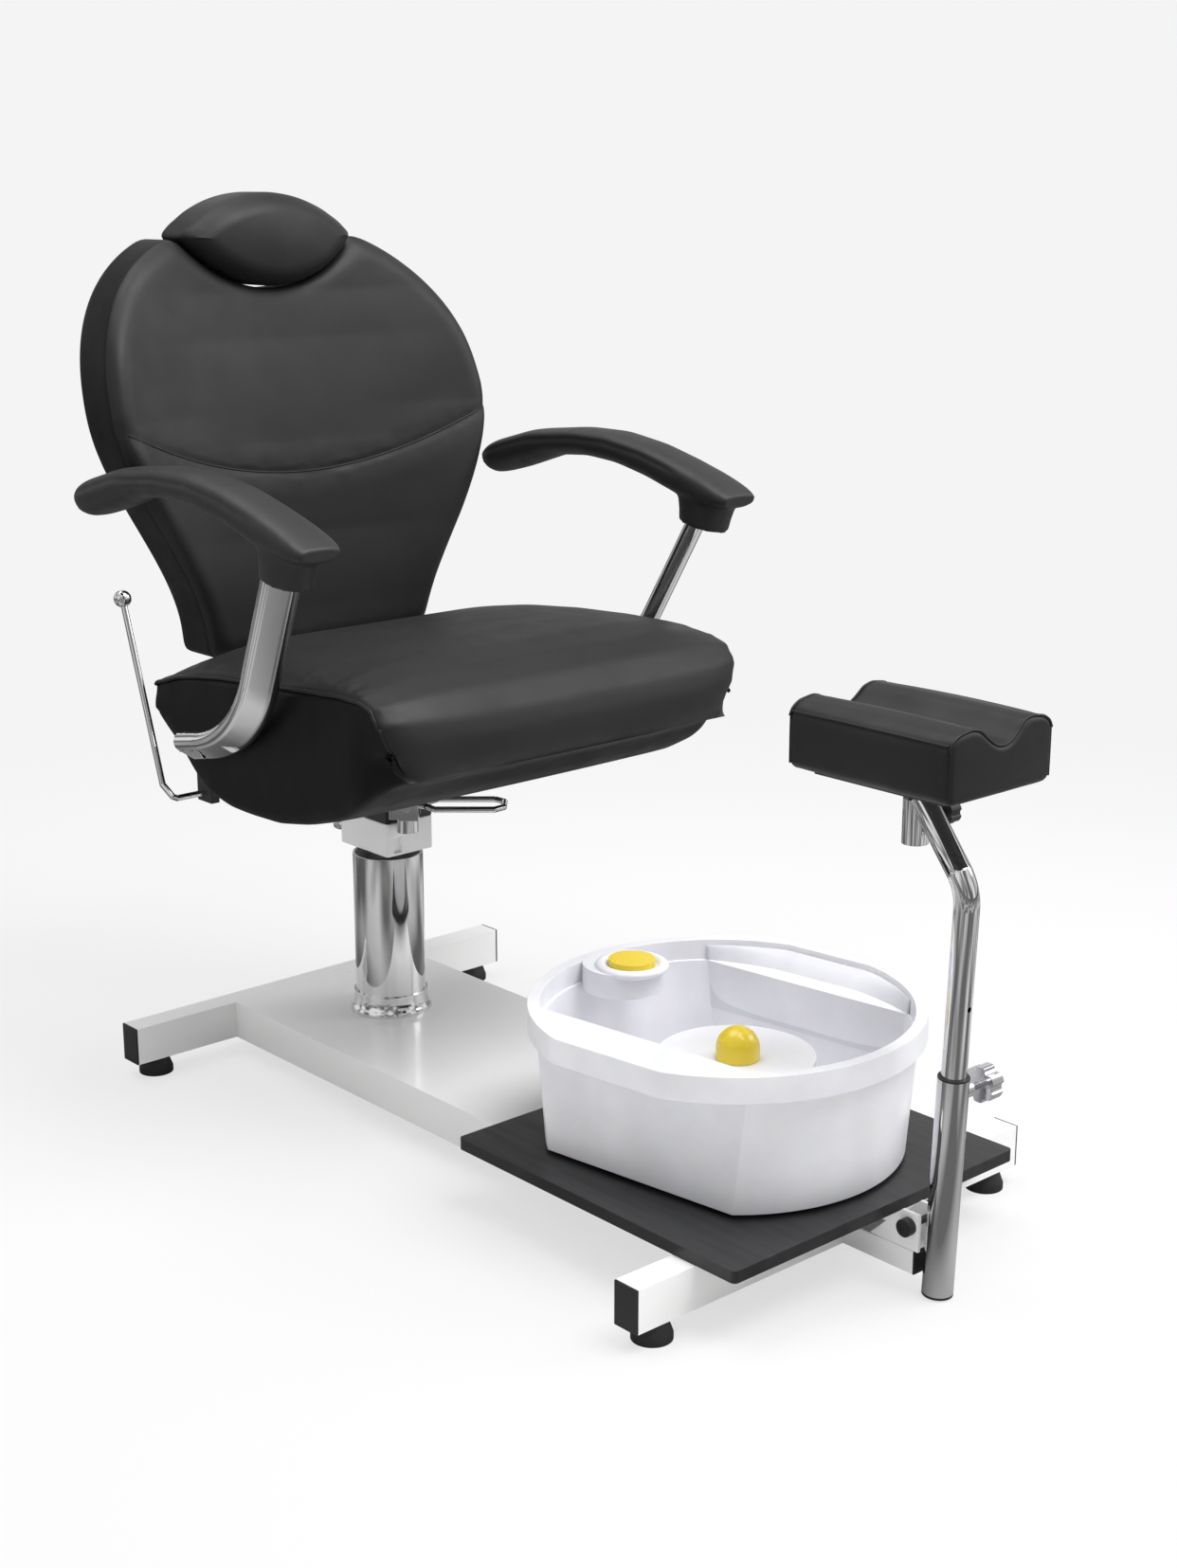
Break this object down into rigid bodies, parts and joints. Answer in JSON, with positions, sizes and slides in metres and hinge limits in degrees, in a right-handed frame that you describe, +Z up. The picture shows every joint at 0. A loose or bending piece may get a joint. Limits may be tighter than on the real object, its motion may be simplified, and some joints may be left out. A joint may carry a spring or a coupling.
{
  "type": "pedicure spa chair",
  "caption": "Padded swivel chair with reclining bucket back and arm rests on a low steel base, with a foot tub on a shelf and a leg cushion on a post.",
  "frame": {"origin": "on the floor under the middle of the overall box", "axes": "+Z up, -Y the way the sitter faces, +X the sitter's left"},
  "size_m": [0.708, 1.2631, 1.1427],
  "materials": {
    "white_paint": "gloss",
    "black_plastic": "satin",
    "black_rubber": "matte",
    "zinc_steel": "satin",
    "black_laminate": "satin",
    "chrome": "polished",
    "clear_chrome": "polished",
    "black_paint": "satin",
    "plywood": "raw",
    "black_vinyl": "satin grained",
    "black_foam_skin": "soft satin",
    "tub_white": "satin",
    "tub_yellow": "gloss"
  },
  "bodies": {
    "base": {"rear_tube": "white_paint", "front_tube": "white_paint", "deck_panel": "white_paint", "tube_end_caps": "black_plastic", "rubber_feet": "black_rubber", "foot_studs": "zinc_steel", "shelf_board": "black_laminate", "shelf_screws": "zinc_steel", "tongue_tube": "white_paint", "post_bracket": "white_paint", "post_bush": "black_plastic", "post_sleeve": "chrome", "sleeve_bush": "black_plastic", "column_flange": "chrome", "column_bolts": "zinc_steel", "column_cylinder": "chrome", "column_bush": "black_plastic"},
    "lift": {"lift_ram": "chrome", "ram_piston": "zinc_steel"},
    "seat": {"head_housing": "white_paint", "housing_bolt": "chrome", "spacer_block": "black_paint", "lever_clevis": "chrome", "clevis_pin": "zinc_steel", "seat_plate": "black_paint", "seat_skirt": "black_vinyl", "seat_pan": "plywood", "seat_cushion": "black_vinyl", "hinge_blocks": "zinc_steel", "hinge_shaft": "zinc_steel", "arm_tube_left": "chrome", "arm_tube_right": "chrome", "arm_pad_left": "black_foam_skin", "arm_pad_right": "black_foam_skin", "arm_bolts": "zinc_steel", "strut_bracket": "zinc_steel", "lever_bearings": "black_plastic"},
    "pump_lever": {"lift_lever": "chrome"},
    "back": {"back_frame": "zinc_steel", "back_board": "plywood", "back_cushion": "black_vinyl", "back_cover": "black_vinyl", "headrest_guides": "black_plastic"},
    "head": {"headrest_posts": "chrome", "headrest_cushion": "black_vinyl"},
    "strut_body": {"strut_cylinder": "black_paint"},
    "strut_piston": {"strut_rod": "chrome"},
    "recline_handle": {"recline_lever": "chrome", "recline_ball": "chrome"},
    "leg_tube": {"footrest_tube": "chrome", "pad_socket": "chrome"},
    "leg_pad": {"pad_bracket": "black_paint", "pad_cushion": "black_vinyl"},
    "height_clamp": {"height_knob": "clear_chrome"},
    "post_clamp": {"clamp_knob": "black_plastic"},
    "pad_clamp": {"pad_knob": "black_plastic"},
    "tub": {"tub_shell": "tub_white", "tub_pads": "black_rubber"},
    "hub": {"tub_hub": "tub_yellow"},
    "dial": {"tub_dial": "tub_yellow"}
  },
  "joints": [
    {"name": "seat_lift", "type": "slide", "parent": "base", "child": "lift", "axis": [0, 0, 1], "range_m": [0, 0.13]},
    {"name": "seat_swivel", "type": "hinge", "parent": "lift", "child": "seat", "pos_m": [0, 0.351, 0.3], "axis": [0, 0, 1], "continuous": true},
    {"name": "pump_lever_hinge", "type": "hinge", "parent": "seat", "child": "pump_lever", "pos_m": [-0.018, 0.283, 0.371], "axis": [0.6691, 0.7431, 0], "range_deg": [-10, 20], "stiffness_Nm_per_rad": 6},
    {"name": "recline", "type": "hinge", "parent": "seat", "child": "back", "pos_m": [0, 0.429, 0.528], "axis": [-1, 0, 0], "range_deg": [0, 35]},
    {"name": "strut_swing", "type": "hinge", "parent": "seat", "child": "strut_body", "pos_m": [0, 0.199, 0.482], "axis": [1, 0, 0], "range_deg": [0, 5.71]},
    {"name": "strut_stroke", "type": "slide", "parent": "strut_body", "child": "strut_piston", "axis": [0, 0.9984, 0.0571], "range_m": [-0.01448, 0]},
    {"name": "recline_lever_hinge", "type": "hinge", "parent": "seat", "child": "recline_handle", "pos_m": [-0.2, 0.403, 0.404], "axis": [-1, 0, 0], "range_deg": [-4, 12], "stiffness_Nm_per_rad": 8},
    {"name": "headrest_slide", "type": "slide", "parent": "back", "child": "head", "axis": [0, 0.1908, 0.9816], "range_m": [0, 0.05]},
    {"name": "leg_rest_height", "type": "slide", "parent": "base", "child": "leg_tube", "axis": [0, -0.0366, 0.9993], "range_m": [-0.03, 0.11]},
    {"name": "leg_pad_swivel", "type": "hinge", "parent": "leg_tube", "child": "leg_pad", "pos_m": [0.02, -0.531, 0.492], "axis": [0, 0, 1], "range_deg": [-60, 60]},
    {"name": "height_knob_turn", "type": "hinge", "parent": "base", "child": "height_clamp", "pos_m": [0.02, -0.5941, 0.23184], "axis": [1, 0, 0], "continuous": true},
    {"name": "post_knob_turn", "type": "hinge", "parent": "base", "child": "post_clamp", "pos_m": [0.02, -0.5576, 0.076], "axis": [1, 0, 0], "continuous": true},
    {"name": "pad_knob_turn", "type": "hinge", "parent": "leg_tube", "child": "pad_clamp", "pos_m": [0.02, -0.531, 0.516], "axis": [1, 0, 0], "continuous": true},
    {"name": "tub_lift_off", "type": "slide", "parent": "base", "child": "tub", "axis": [0, 0, 1], "range_m": [0, 0.2]},
    {"name": "tub_hub_turn", "type": "hinge", "parent": "tub", "child": "hub", "pos_m": [-0.07771, -0.37773, 0.235], "axis": [0, 0, 1], "continuous": true},
    {"name": "tub_dial_turn", "type": "hinge", "parent": "tub", "child": "dial", "pos_m": [0.00178, -0.1242, 0.255], "axis": [0, 0, 1], "range_deg": [0, 270]}
  ],
  "couplings": [
    {"joint": "strut_swing", "follows": "recline", "ratio": 0.15444},
    {"joint": "strut_stroke", "follows": "recline", "m_per_rad": -0.022886}
  ]
}
